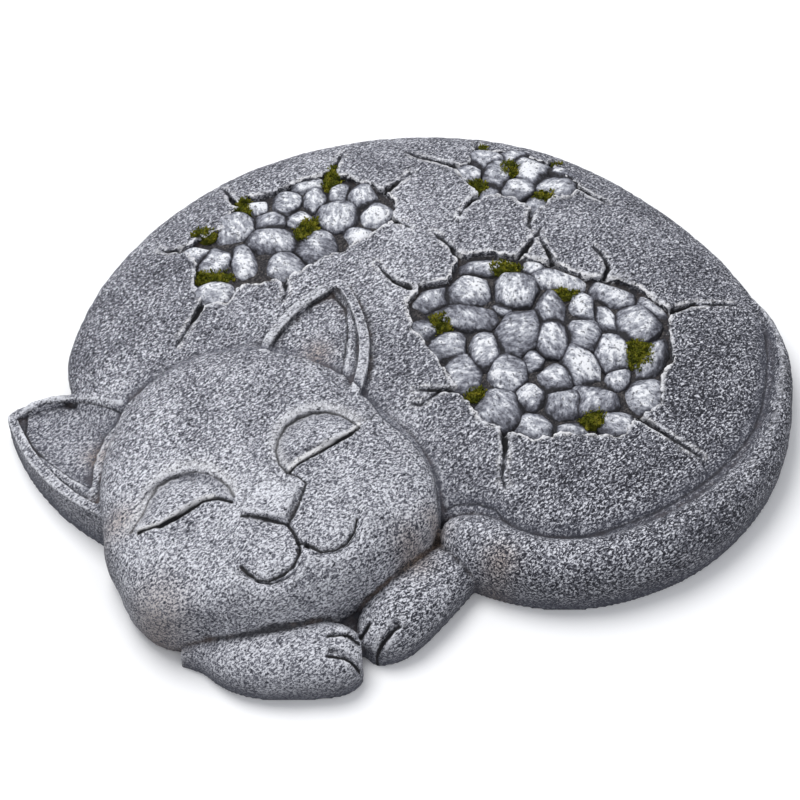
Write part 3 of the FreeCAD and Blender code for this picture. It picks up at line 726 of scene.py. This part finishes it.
pebble_points, pebble_faces, stones = [], [], []
pebble_height_light_and_shade, pebble_tone, pebble_own = [], [], []
for x, y, length, width, turn in RIGHT_PEBBLES + LEFT_PEBBLES + FAR_PEBBLES:
    ball = worn_ball()
    lean = random.uniform(-MOST_LEAN, MOST_LEAN, 2)
    growth = FAR_GROWTH if (x, y, length, width, turn) in FAR_PEBBLES else PEBBLE_GROWTH
    reach = np.array([length / 2 * growth, width / 2 * growth, PEBBLE_FULLNESS * width + 1])
    local = ball * reach
    local[:, 2] += local[:, :2] @ lean
    top = plumb(beds, x, y) / MM + LOWEST_TOP + TOP_PER_WIDTH * width
    local[:, 2] += top - local[:, 2].max()
    heading = math.radians(turn)
    stones.append((x, y, heading, reach, top))
    first = len(pebble_points)
    for p, q, z in local:
        across = Vector((p, q)) @ Matrix.Rotation(-heading, 2)
        pebble_points.append(PLAN_ORIGIN + Vector((x + across.x, y + across.y, z)) * MM)
    stroke = random.uniform(0, math.tau)
    swept = np.array(Matrix.Rotation(-stroke, 3, "Z"))
    pebble_own += list(local @ swept * MM + random.uniform(0, 1, 3))
    # The height up each pebble, later the figure for painted highlights on tops and shade at feet
    pebble_height_light_and_shade += list(ball[:, 2])
    pebble_tone += [random.uniform(0, 1)] * len(ball)
    pebble_faces += ringed_faces(first, RINGS, SPOKES)
    pebble_faces.append([first + (RINGS - 1) * SPOKES + i for i in reversed(range(SPOKES))])
print("pebbles", len(stones), "with", len(pebble_points), "points")

# %% [markdown]
# Where two pebbles nearly touch, the crevice between them is darkened with painted shade. A
# point is in such a crevice when it lies close above, or under, the rounded top of another pebble.

# %% Crevices between the pebbles
CREVICE, CREVICE_DARKNESS = 1.8, 0.6
places = (np.array(pebble_points) - np.array(PLAN_ORIGIN)) / MM
crevice_shade = np.zeros(len(places))
for own, (x, y, heading, reach, top) in enumerate(stones):
    local = (places[:, :2] - (x, y)) @ np.array(Matrix.Rotation(heading, 2))
    spread = ((local / reach[:2]) ** 2).sum(axis=1)
    cover = top - reach[2] * (1 - np.sqrt(np.clip(1 - spread, 0, 1)))
    close = np.where(spread < 1, 1 - (places[:, 2] - cover) / CREVICE, 0)
    close[own * RINGS * SPOKES:(own + 1) * RINGS * SPOKES] = 0
    crevice_shade = np.maximum(crevice_shade, np.clip(close, 0, 1))
# Painted shade in the crevices between pebbles
pebble_height_light_and_shade = np.array(pebble_height_light_and_shade) - CREVICE_DARKNESS * crevice_shade
print("points in crevices", int((crevice_shade > 0.5).sum()), "of", len(places))

# %% One mesh of pebbles
pebble_mesh = bpy.data.meshes.new("bed_pebbles")
pebble_mesh.from_pydata(pebble_points, [], pebble_faces)
keep_attribute(pebble_mesh, "pebble_top_light_foot_shade", pebble_height_light_and_shade)
keep_attribute(pebble_mesh, "tone", pebble_tone)
keep_attribute(pebble_mesh, "own_place", np.array(pebble_own))
pebble_mesh.shade_smooth()
pebbles = bpy.data.objects.new("bed_pebbles", pebble_mesh)
bpy.context.scene.collection.objects.link(pebbles)
print("pebbles", len(pebble_mesh.polygons), "faces")

# %% [markdown]
# Cast concrete is cement paste with sand in it. Dry, it is a cool mid grey, quite matt, with
# an IOR near that of most minerals. The eye sees a salt-and-pepper grain of about a
# millimetre, pale where the brush caught the grit and dark in the pits between. Where the
# brush pressed harder, and where painted light falls, more of the grain is pale. Over that lie
# the dark wash with painted shade in grooves, brown earth with painted shade in the deep folds,
# further painted shade along lines and edges, pale rims that are partly painted highlights, and
# grey-brown mortar, darkened with painted shade, between the pebbles.

# %% Cast concrete: grain
CONCRETE_IOR = 1.52
GRIT = 0.88 * MM
STROKE_TURN = math.radians(40)
BLOTCH = 26 * MM
SOIL = 9 * MM

concrete, tree = new_material("cast_concrete")
place = add_node(tree, "ShaderNodeTexCoord", output="Object")
turned = add_node(
    tree, "ShaderNodeVectorRotate", {"Vector": place, "Angle": -STROKE_TURN}, rotation_type="Z_AXIS",
)
drawn = add_node(tree, "ShaderNodeMapping", {"Vector": turned, "Scale": (0.62, 1.0, 1.0)})
grit = add_node(
    tree, "ShaderNodeTexNoise",
    {"Vector": drawn, "Scale": 1 / GRIT, "Detail": 1.5, "Roughness": 0.5, "Distortion": 0.8},
)
blotch = add_node(tree, "ShaderNodeTexNoise", {"Vector": place, "Scale": 1 / BLOTCH, "Detail": 3.0})
patchy = add_node(tree, "ShaderNodeTexNoise", {"Vector": place, "Scale": 1 / SOIL, "Detail": 2.0})
fine, broad, brushing_and_light, edge, crack_and_line_shade, highlit_edge, coarse, shade, soil = (
    add_node(tree, "ShaderNodeAttribute", output="Fac", attribute_name=name) for name in (
        "fine_hollow", "broad_hollow", "brushing_and_light", "from_edge", "crack", "pale_and_highlit_edge", "coarse", "shade",
        "soil",
    )
)

# The middle of the grain's ramp follows brushing and painted light and shade
brushing_and_light_level = add_node(
    tree, "ShaderNodeMapRange",
    {"Value": brushing_and_light, "From Max": MOST_BRUSHING_AND_LIGHT, "To Min": 0.41, "To Max": 0.56},
)
contrast = add_node(tree, "ShaderNodeMapRange", {"Value": coarse, "To Min": 0.92, "To Max": 1.35})
uneven = add_node(
    tree, "ShaderNodeMapRange",
    {"Value": blotch, "From Min": 0.3, "From Max": 0.7, "To Min": -0.035, "To Max": 0.035},
)
middle = add_node(tree, "ShaderNodeMath", {0: brushing_and_light_level, 1: uneven}, operation="ADD")
middle = add_node(tree, "ShaderNodeMath", {0: coarse, 1: -0.03, 2: middle}, operation="MULTIPLY_ADD")
swing = add_node(tree, "ShaderNodeMath", {0: grit, 1: 0.5}, operation="SUBTRACT")
caught = add_node(tree, "ShaderNodeMath", {0: swing, 1: contrast, 2: middle}, operation="MULTIPLY_ADD")
pepper = add_node(
    tree, "ShaderNodeValToRGB", {"Fac": caught},
    stops=((0.31, "#202128"), (0.47, "#6e6f78"), (0.63, "#dadbe1")),
)
# Mortar: its own grey-brown, drawn near black as painted shade in the gaps between pebbles
mortar_and_gap_shade = add_node(
    tree, "ShaderNodeValToRGB", {"Fac": grit},
    stops=((0.32, "#19181b"), (0.5, "#323032"), (0.70, "#5c5755")),
)
print("grain of", GRIT / MM, "mm in patches of", BLOTCH / MM, "mm")

# %% Cast concrete: wash, earth and rims, with painted shade and highlights
in_bed = add_node(tree, "ShaderNodeMapRange", {"Value": edge, "From Min": 0.2, "From Max": -0.6})
base = add_node(tree, "ShaderNodeMix", {"Factor": in_bed, "A": pepper, "B": mortar_and_gap_shade}, data_type="RGBA")
# The wash is partly a dark stain and partly painted shade in the grooves
wash_and_shade = add_node(
    tree, "ShaderNodeMapRange", {"Value": fine, "From Min": 0.08, "From Max": 0.6, "To Max": 0.85},
)
stained_and_shaded = add_node(
    tree, "ShaderNodeMix", {"Factor": wash_and_shade, "A": base, "B": linear("#26272d")}, data_type="RGBA",
)
# The deep folds get brown earth and painted shade between the limbs
earth_and_fold_shade = add_node(
    tree, "ShaderNodeValToRGB", {"Fac": patchy}, stops=((0.42, "#38373a"), (0.62, "#6e5644")),
)
fold_shade = add_node(
    tree, "ShaderNodeMapRange", {"Value": broad, "From Min": 1.0, "From Max": 4.5, "To Max": 0.6},
)
shaded = add_node(tree, "ShaderNodeMix", {"Factor": fold_shade, "A": stained_and_shaded, "B": earth_and_fold_shade}, data_type="RGBA")
# Painted shade: the shade figure darkens the colour towards #565863
painted_shade_amount = add_node(tree, "ShaderNodeMath", {0: shade, 1: 0.5}, operation="MULTIPLY")
shaded = add_node(
    tree, "ShaderNodeMix", {"Factor": painted_shade_amount, "A": shaded, "B": linear("#565863")}, data_type="RGBA",
)
spots = add_node(
    tree, "ShaderNodeMapRange", {"Value": grit, "From Min": 0.42, "From Max": 0.58, "To Max": 0.5},
)
dusty = add_node(tree, "ShaderNodeMath", {0: soil, 1: spots}, operation="MULTIPLY")
shaded = add_node(
    tree, "ShaderNodeMix", {"Factor": dusty, "A": shaded, "B": linear("#9c8672")}, data_type="RGBA",
)
# Pale ridges: partly dry-brushing and partly a painted highlight
rim = add_node(
    tree, "ShaderNodeMapRange", {"Value": fine, "From Min": -0.18, "From Max": -0.7, "To Max": 0.75},
)
pale = add_node(tree, "ShaderNodeMapRange", {"Value": grit, "From Min": 0.3, "From Max": 0.47})
rim = add_node(tree, "ShaderNodeMath", {0: rim, 1: pale}, operation="MULTIPLY")
brushed_and_highlit = add_node(
    tree, "ShaderNodeMix", {"Factor": rim, "A": shaded, "B": linear("#dcdde2")}, data_type="RGBA",
)
# Pale lips at the bed rims, lids, brows and cracks: partly dry-brushing, partly painted highlights
lip = add_node(
    tree, "ShaderNodeMapRange", {"Value": edge, "From Min": 2.4, "From Max": 0.4, "To Max": 0.9},
)
inner = add_node(tree, "ShaderNodeMath", {0: edge, 1: 0.1}, operation="GREATER_THAN")
lip = add_node(tree, "ShaderNodeMath", {0: lip, 1: inner}, operation="MULTIPLY")
broken = add_node(
    tree, "ShaderNodeMapRange", {"Value": patchy, "From Min": 0.4, "From Max": 0.58, "To Min": 0.15},
)
lip = add_node(tree, "ShaderNodeMath", {0: lip, 1: broken}, operation="MULTIPLY")
lip = add_node(tree, "ShaderNodeMath", {0: lip, 1: highlit_edge}, operation="MAXIMUM")
lip = add_node(tree, "ShaderNodeMath", {0: lip, 1: pale}, operation="MULTIPLY")
edge_highlit = add_node(
    tree, "ShaderNodeMix", {"Factor": lip, "A": brushed_and_highlit, "B": linear("#e6e5e6")}, data_type="RGBA",
)
# Cracks and engraved lines darkened to near black with painted shade
line_shade = add_node(tree, "ShaderNodeMapRange", {"Value": crack_and_line_shade, "From Min": 0.3, "From Max": 0.75})
lined = add_node(
    tree, "ShaderNodeMix", {"Factor": line_shade, "A": edge_highlit, "B": linear("#17171a")}, data_type="RGBA",
)
bump = add_node(tree, "ShaderNodeBump", {"Height": grit, "Strength": 0.7, "Distance": 0.6 * MM})
skin = add_node(
    tree, "ShaderNodeBsdfPrincipled",
    {"Base Color": lined, "Roughness": 0.88, "IOR": CONCRETE_IOR, "Specular IOR Level": 0.35,
     "Normal": bump},
)
add_node(tree, "ShaderNodeOutputMaterial", {"Surface": skin})
crust.materials.clear()
crust.materials.append(concrete)
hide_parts("cat_stepping_stone")
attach(casting, "root")
print(concrete.name, len(tree.nodes), "nodes")

# %% [markdown]
# The pebbles are the same concrete, smoother and with more pale paint: the brush caught their
# tops in patches and streaks, each swept its own way, and left blue-grey sides. Their tops are
# also lightened as a painted highlight, and their feet darkened as painted shade.
# Pits of a millimetre show dark in the pale tops. Each pebble brings its own coordinates, so
# that no streak runs on from one to the next.

# %% Brushed pebbles, with painted highlights and shade
STREAK = 2.4 * MM
PIT = 1.5 * MM
brushed_concrete, tree = new_material("cast_concrete_pebble")
own = add_node(tree, "ShaderNodeAttribute", output="Vector", attribute_name="own_place")
drawn = add_node(tree, "ShaderNodeMapping", {"Vector": own, "Scale": (1.0, 0.5, 0.9)})
streak = add_node(
    tree, "ShaderNodeTexNoise", {"Vector": drawn, "Scale": 1 / STREAK, "Detail": 4.0, "Roughness": 0.7},
)
pits = add_node(tree, "ShaderNodeTexNoise", {"Vector": own, "Scale": 1 / PIT, "Detail": 1.0})
# Height up the pebble, lowered in crevices: painted highlights on tops, painted shade at the feet
up = add_node(tree, "ShaderNodeAttribute", output="Fac", attribute_name="pebble_top_light_foot_shade")
tone = add_node(tree, "ShaderNodeAttribute", output="Fac", attribute_name="tone")
stroke = add_node(
    tree, "ShaderNodeMapRange",
    {"Value": streak, "From Min": 0.3, "From Max": 0.7, "To Min": -0.38, "To Max": 0.3},
)
own_tone = add_node(tree, "ShaderNodeMapRange", {"Value": tone, "To Min": -0.12, "To Max": 0.12})
lift = add_node(tree, "ShaderNodeMath", {0: up, 1: stroke}, operation="ADD")
lift = add_node(tree, "ShaderNodeMath", {0: lift, 1: own_tone}, operation="ADD")
# Dark painted shade at the feet, blue-grey sides, pale painted highlights on the tops
pebble_paint_light_and_shade = add_node(
    tree, "ShaderNodeValToRGB", {"Fac": lift},
    stops=(
        (0.14, "#222125"), (0.44, "#52535c"), (0.67, "#84868f"), (0.87, "#b5b7be"), (1.0, "#e4e5e8"),
    ),
)
pitted = add_node(
    tree, "ShaderNodeMapRange", {"Value": pits, "From Min": 0.41, "From Max": 0.32, "To Max": 0.75},
)
spotted = add_node(
    tree, "ShaderNodeMix", {"Factor": pitted, "A": pebble_paint_light_and_shade, "B": linear("#3a3a40")}, data_type="RGBA",
)
rough = add_node(tree, "ShaderNodeMath", {0: streak, 1: pits}, operation="ADD")
bump = add_node(tree, "ShaderNodeBump", {"Height": rough, "Strength": 0.5, "Distance": 0.6 * MM})
skin = add_node(
    tree, "ShaderNodeBsdfPrincipled",
    {"Base Color": spotted, "Roughness": 0.8, "IOR": CONCRETE_IOR, "Specular IOR Level": 0.35,
     "Normal": bump},
)
add_node(tree, "ShaderNodeOutputMaterial", {"Surface": skin})
pebble_mesh.materials.append(brushed_concrete)
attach(pebbles, "root")
print(brushed_concrete.name, len(tree.nodes), "nodes")

# %% [markdown]
# Moss grows in the shelter between the pebbles. A cushion of it is hundreds of leafy shoots
# on a soft mound. Each patch is a mound that fills the gaps up to the level of most pebbles,
# with small leaning leaves standing on it. All the patches make one mesh.

# %% Moss
# Each patch with its place in the plan, its length and its width in millimetres
MOSS_PATCHES = [
    (53, 59, 24, 11), (83, 42, 23, 9), (21, 22, 15, 14), (119, 4, 20, 22), (37, -22, 14, 12),
    (95, -37, 15, 15), (-83, 104, 11, 22), (-102, 87, 17, 10), (-96, 56, 27, 13), (-48, 86, 17, 22),
    (-36, 126, 12, 26), (40, 118, 16, 14), (58, 131, 13, 15), (45, 150, 6, 8), (77, 112, 15, 9),
    (84, 141, 9, 4),
]
LEAF_LENGTH, LEAF_WIDTH = 2.0, 0.8
LEAVES_PER_SQUARE_MM = 2.6
MOUND_RINGS, MOUND_SPOKES, MOUND_DEPTH = 7, 20, 9.0
MOUND_SWELL, MOUND_FALL, MOUND_PROUD = 3.5, 5.5, 0.6
MOST_HIDDEN = 1.0
random = np.random.default_rng(7)
graph = bpy.context.evaluated_depsgraph_get()
grounds = [BVHTree.FromObject(piece, graph) for piece in (casting, pebbles)]


def ground_at(x, y):
    """Height in millimetres of the stone, pebbles included, at a place of the plan."""
    return max((plumb(tree, x, y) or 0.0) / MM for tree in grounds)


def mound_at(x, y, patch, level):
    """Height of a patch's mound: level in the middle, falling away steeply at its uneven rim."""
    px, py, length, width = patch
    share = math.hypot((x - px) / (length / 2), (y - py) / (width / 2))
    rough = noise.noise(Vector((x, y, 3)) / MOUND_SWELL)
    return level + 0.9 * rough - min(MOUND_FALL * max(share + 0.35 * rough, 0) ** 5, MOUND_DEPTH)


moss_points, moss_faces, moss_height_light_and_shade = [], [], []
for patch in MOSS_PATCHES:
    px, py, length, width = patch
    samples = [
        ground_at(px + length * a / 5, py + width * b / 5) for a in range(-2, 3) for b in range(-2, 3)
    ]
    level = float(np.percentile(samples, 55)) + MOUND_PROUD
    first = len(moss_points)
    for ring in range(MOUND_RINGS):
        for spoke in range(MOUND_SPOKES):
            turn = math.tau * spoke / MOUND_SPOKES
            share = (ring + 0.2) / (MOUND_RINGS - 1) * 1.15
            x = px + length / 2 * share * math.cos(turn)
            y = py + width / 2 * share * math.sin(turn)
            moss_points.append((x, y, mound_at(x, y, patch, level)))
            moss_height_light_and_shade.append(0.35)
    moss_faces += ringed_faces(first, MOUND_RINGS, MOUND_SPOKES)
    for _ in range(int(length * width * math.pi / 4 * LEAVES_PER_SQUARE_MM)):
        turn = random.uniform(0, math.tau)
        share = math.sqrt(random.uniform(0, 1)) * 1.05
        x = px + length / 2 * share * math.cos(turn)
        y = py + width / 2 * share * math.sin(turn)
        heading = random.uniform(0, math.tau)
        lean = random.uniform(0.2, 1.2)
        size = random.uniform(0.6, 1.2)
        ground, mound = ground_at(x, y), mound_at(x, y, patch, level)
        if mound < ground - MOST_HIDDEN:
            continue
        foot = Vector((x, y, max(mound, ground) - 0.2))
        ahead = Vector((math.cos(heading), math.sin(heading), 0))
        side = Vector((-math.sin(heading), math.cos(heading), 0)) * (LEAF_WIDTH * size / 2)
        tip = foot + (Vector((0, 0, math.cos(lean))) + ahead * math.sin(lean)) * (LEAF_LENGTH * size)
        belly = foot.lerp(tip, 0.5) + Vector((0, 0, 0.2))
        leaf = len(moss_points)
        outline = (foot - side * 0.4, foot + side * 0.4, belly + side, tip, belly - side)
        moss_points += [tuple(p) for p in outline]
        moss_faces.append([leaf, leaf + 1, leaf + 2, leaf + 3, leaf + 4])
        moss_height_light_and_shade += [0.2, 0.2, 0.7, 1.0, 0.7]

moss_mesh = bpy.data.meshes.new("moss")
moss_mesh.from_pydata([tuple(PLAN_ORIGIN + Vector(p) * MM) for p in moss_points], [], moss_faces)
keep_attribute(moss_mesh, "leaf_height_light_and_shade", moss_height_light_and_shade)
moss = bpy.data.objects.new("moss_tufts", moss_mesh)
bpy.context.scene.collection.objects.link(moss)
print("moss", len(moss_faces), "faces")

# %% [markdown]
# Moss leaves are thin, damp and matt, and they let no clear reflection show. The tips are
# yellow-green and the leaves darker and browner towards their feet, partly young and old growth
# and partly a painted highlight and painted shade, so the colour follows the height up the leaf
# and drifts from patch to patch.

# %% Moss colour
MOSS_DRIFT = 3.5 * MM
moss_green, tree = new_material("moss_leaf")
place = add_node(tree, "ShaderNodeTexCoord", output="Object")
drift = add_node(tree, "ShaderNodeTexNoise", {"Vector": place, "Scale": 1 / MOSS_DRIFT, "Detail": 3.0})
height = add_node(tree, "ShaderNodeAttribute", output="Fac", attribute_name="leaf_height_light_and_shade")
green = add_node(
    tree, "ShaderNodeValToRGB", {"Fac": drift},
    stops=((0.35, "#454a10"), (0.5, "#6f7318"), (0.66, "#a19a33")),
)
# Leaf colour by height: partly young and old growth, partly painted highlight and painted shade
lit_and_shaded_leaf = add_node(
    tree, "ShaderNodeMix", {"Factor": height, "A": linear("#23270a"), "B": green}, data_type="RGBA",
)
leaf = add_node(
    tree, "ShaderNodeBsdfPrincipled",
    {"Base Color": lit_and_shaded_leaf, "Roughness": 0.75, "IOR": 1.4, "Specular IOR Level": 0.2},
)
add_node(tree, "ShaderNodeOutputMaterial", {"Surface": leaf})
moss_mesh.materials.append(moss_green)
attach(moss, "root")
print(moss_green.name, len(tree.nodes), "nodes")

# %% [markdown]
# The stage is a pale floor under an even white sky, with one broad lamp high up to the left,
# a little behind the stone. The floor looks white to the camera, and it keeps the stone's
# shadow, but it throws back less light than it shows, so the walls of the stone stay dark.

# %% Floor
FLOOR_HALF = 3.0
floor_mesh = bpy.data.meshes.new("floor")
corners = [(FLOOR_HALF * x, FLOOR_HALF * y, 0) for x, y in ((-1, -1), (1, -1), (1, 1), (-1, 1))]
floor_mesh.from_pydata(corners, [], [(0, 1, 2, 3)])
floor = bpy.data.objects.new("floor", floor_mesh)
bpy.context.scene.collection.objects.link(floor)
pale, tree = new_material("pale_floor")
camera_ray = add_node(tree, "ShaderNodeLightPath", output="Is Camera Ray")
rays = camera_ray.node.outputs
seen = add_node(tree, "ShaderNodeMath", {0: camera_ray, 1: rays["Is Glossy Ray"]}, operation="MAXIMUM")
seen = add_node(tree, "ShaderNodeMath", {0: seen, 1: rays["Is Transmission Ray"]}, operation="MAXIMUM")
sheet = add_node(
    tree, "ShaderNodeMix",
    {"Factor": seen, "A": linear("#8a8a8a"), "B": linear("#fdfdfd")}, data_type="RGBA",
)
matt = add_node(tree, "ShaderNodeBsdfDiffuse", {"Color": sheet})
add_node(tree, "ShaderNodeOutputMaterial", {"Surface": matt})
floor_mesh.materials.append(pale)
print("floor", 2 * FLOOR_HALF, "m square")

# %% Light
SKY_STRENGTH = 0.72
LAMP_SIZE, LAMP_WATTS, LAMP_PLACE = 0.9, 15, (-0.45, 0.40, 1.40)
world = bpy.data.worlds.new("white_sky")
bpy.context.scene.world = world
world.use_nodes = True
tree = world.node_tree
tree.nodes.clear()
sky = add_node(tree, "ShaderNodeBackground", {"Color": linear("#f4f6fb"), "Strength": SKY_STRENGTH})
add_node(tree, "ShaderNodeOutputWorld", {"Surface": sky})

key_data = bpy.data.lights.new("soft_key", "AREA")
key_data.shape = "DISK"
key_data.size = LAMP_SIZE
key_data.energy = LAMP_WATTS
key = bpy.data.objects.new("soft_key", key_data)
key.location = LAMP_PLACE
key.rotation_euler = Vector(key.location).to_track_quat("Z", "Y").to_euler()
bpy.context.scene.collection.objects.link(key)
bpy.context.scene.view_settings.view_transform = "Standard"
print("lamp", key_data.energy, "W,", round(key.location.length, 2), "m away")
